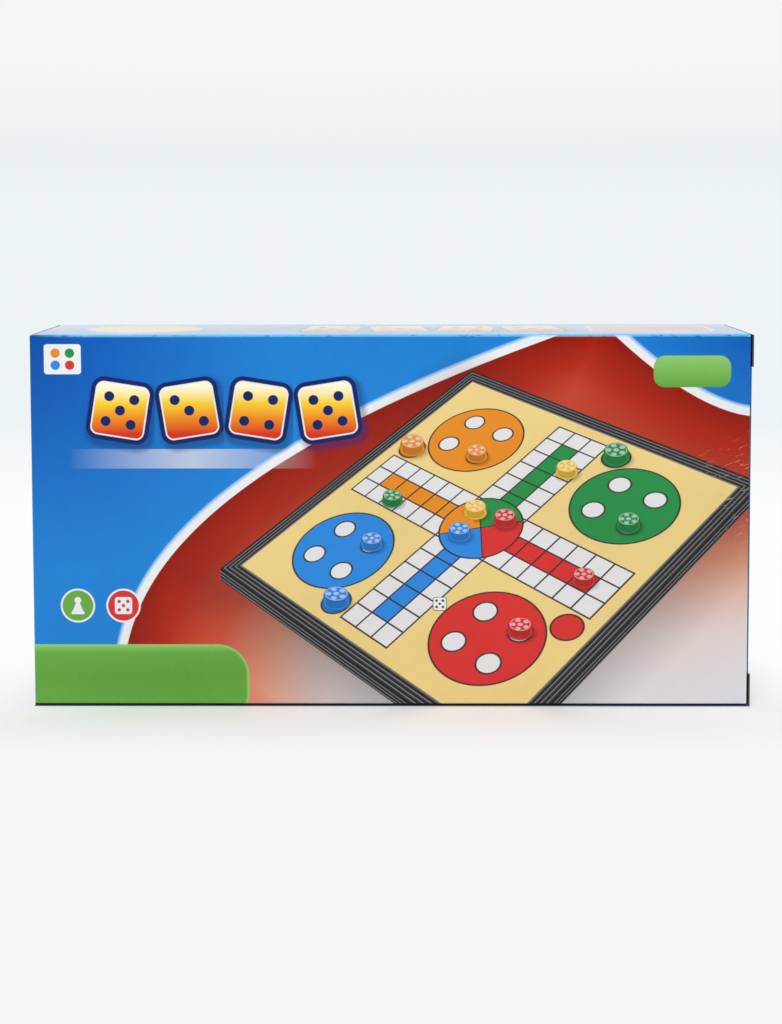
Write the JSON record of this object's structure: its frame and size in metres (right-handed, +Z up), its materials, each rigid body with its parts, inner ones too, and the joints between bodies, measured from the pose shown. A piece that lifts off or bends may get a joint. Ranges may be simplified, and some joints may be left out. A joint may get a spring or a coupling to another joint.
{
  "type": "folding ludo board box",
  "caption": "Reverse tuck carton of printed board on its long narrow side, with hinged closures, tuck and dust flaps, round a folding ludo case with counters and a die.",
  "frame": {"origin": "middle of the base panel's outer face, on the surface that the carton stands on", "axes": "+X along the carton's length, to the right seen from the front; the printed front faces -Y; +Z up"},
  "size_m": [0.252, 0.036, 0.1315],
  "materials": {
    "printed_board": "gloss laminated colour print outside, plain grey-white board inside and on cut edges",
    "case_plastic": "fine textured black moulded plastic",
    "play_sheet": "laminated printed card",
    "pin_steel": "drawn wire",
    "tray_plastic": "satin moulded plastic",
    "red_plastic": "clear tinted gloss plastic",
    "blue_plastic": "clear tinted gloss plastic",
    "green_plastic": "clear tinted gloss plastic",
    "yellow_plastic": "clear tinted gloss plastic",
    "die_plastic": "white gloss plastic"
  },
  "bodies": {
    "carton": {"front_panel": "printed_board", "top_panel": "printed_board", "back_panel": "printed_board", "base_panel": "printed_board", "glue_flap": "printed_board", "front_half_shell": "case_plastic", "back_half_shell": "case_plastic", "latch_clip": "case_plastic", "front_play_sheet": "play_sheet", "back_play_sheet": "play_sheet", "left_hinge_pin": "pin_steel", "right_hinge_pin": "pin_steel", "counter_tray": "tray_plastic", "die": "die_plastic", "red_counter_1": "red_plastic", "red_counter_2": "red_plastic", "red_counter_3": "red_plastic", "red_counter_4": "red_plastic", "blue_counter_1": "blue_plastic", "blue_counter_2": "blue_plastic", "blue_counter_3": "blue_plastic", "blue_counter_4": "blue_plastic", "green_counter_1": "green_plastic", "green_counter_2": "green_plastic", "green_counter_3": "green_plastic", "green_counter_4": "green_plastic", "yellow_counter_1": "yellow_plastic", "yellow_counter_2": "yellow_plastic", "yellow_counter_3": "yellow_plastic", "yellow_counter_4": "yellow_plastic"},
    "left_closure": {"left_closure": "printed_board"},
    "left_tuck_flap": {"left_tuck_flap": "printed_board"},
    "left_top_dust_flap": {"left_top_dust_flap": "printed_board"},
    "left_base_dust_flap": {"left_base_dust_flap": "printed_board"},
    "right_closure": {"right_closure": "printed_board"},
    "right_tuck_flap": {"right_tuck_flap": "printed_board"},
    "right_top_dust_flap": {"right_top_dust_flap": "printed_board"},
    "right_base_dust_flap": {"right_base_dust_flap": "printed_board"}
  },
  "joints": [
    {"name": "left_closure_crease", "type": "hinge", "parent": "carton", "child": "left_closure", "pos_m": [-0.12565, -0.01765, 0.06575], "axis": [0, 0, 1], "range_deg": [0, 180]},
    {"name": "left_tuck_crease", "type": "hinge", "parent": "left_closure", "child": "left_tuck_flap", "pos_m": [-0.12556, 0.01666, 0.06575], "axis": [0, 0, 1], "range_deg": [0, 27]},
    {"name": "left_top_dust_crease", "type": "hinge", "parent": "carton", "child": "left_top_dust_flap", "pos_m": [-0.12485, 0, 0.13115], "axis": [0, 1, 0], "range_deg": [0, 90]},
    {"name": "left_base_dust_crease", "type": "hinge", "parent": "carton", "child": "left_base_dust_flap", "pos_m": [-0.12485, 0, 0.00035], "axis": [0, -1, 0], "range_deg": [0, 90]},
    {"name": "right_closure_crease", "type": "hinge", "parent": "carton", "child": "right_closure", "pos_m": [0.12565, 0.01765, 0.06575], "axis": [0, 0, 1], "range_deg": [0, 180]},
    {"name": "right_tuck_crease", "type": "hinge", "parent": "right_closure", "child": "right_tuck_flap", "pos_m": [0.12556, -0.01666, 0.06575], "axis": [0, 0, 1], "range_deg": [0, 27]},
    {"name": "right_top_dust_crease", "type": "hinge", "parent": "carton", "child": "right_top_dust_flap", "pos_m": [0.12485, 0, 0.13115], "axis": [0, -1, 0], "range_deg": [0, 90]},
    {"name": "right_base_dust_crease", "type": "hinge", "parent": "carton", "child": "right_base_dust_flap", "pos_m": [0.12485, 0, 0.00035], "axis": [0, 1, 0], "range_deg": [0, 90]}
  ],
  "couplings": [
    {"joint": "left_tuck_crease", "follows": "left_closure_crease", "ratio": 0.15},
    {"joint": "left_top_dust_crease", "follows": "left_closure_crease", "ratio": 0.5},
    {"joint": "left_base_dust_crease", "follows": "left_closure_crease", "ratio": 0.5},
    {"joint": "right_tuck_crease", "follows": "right_closure_crease", "ratio": 0.15},
    {"joint": "right_top_dust_crease", "follows": "right_closure_crease", "ratio": 0.5},
    {"joint": "right_base_dust_crease", "follows": "right_closure_crease", "ratio": 0.5}
  ]
}
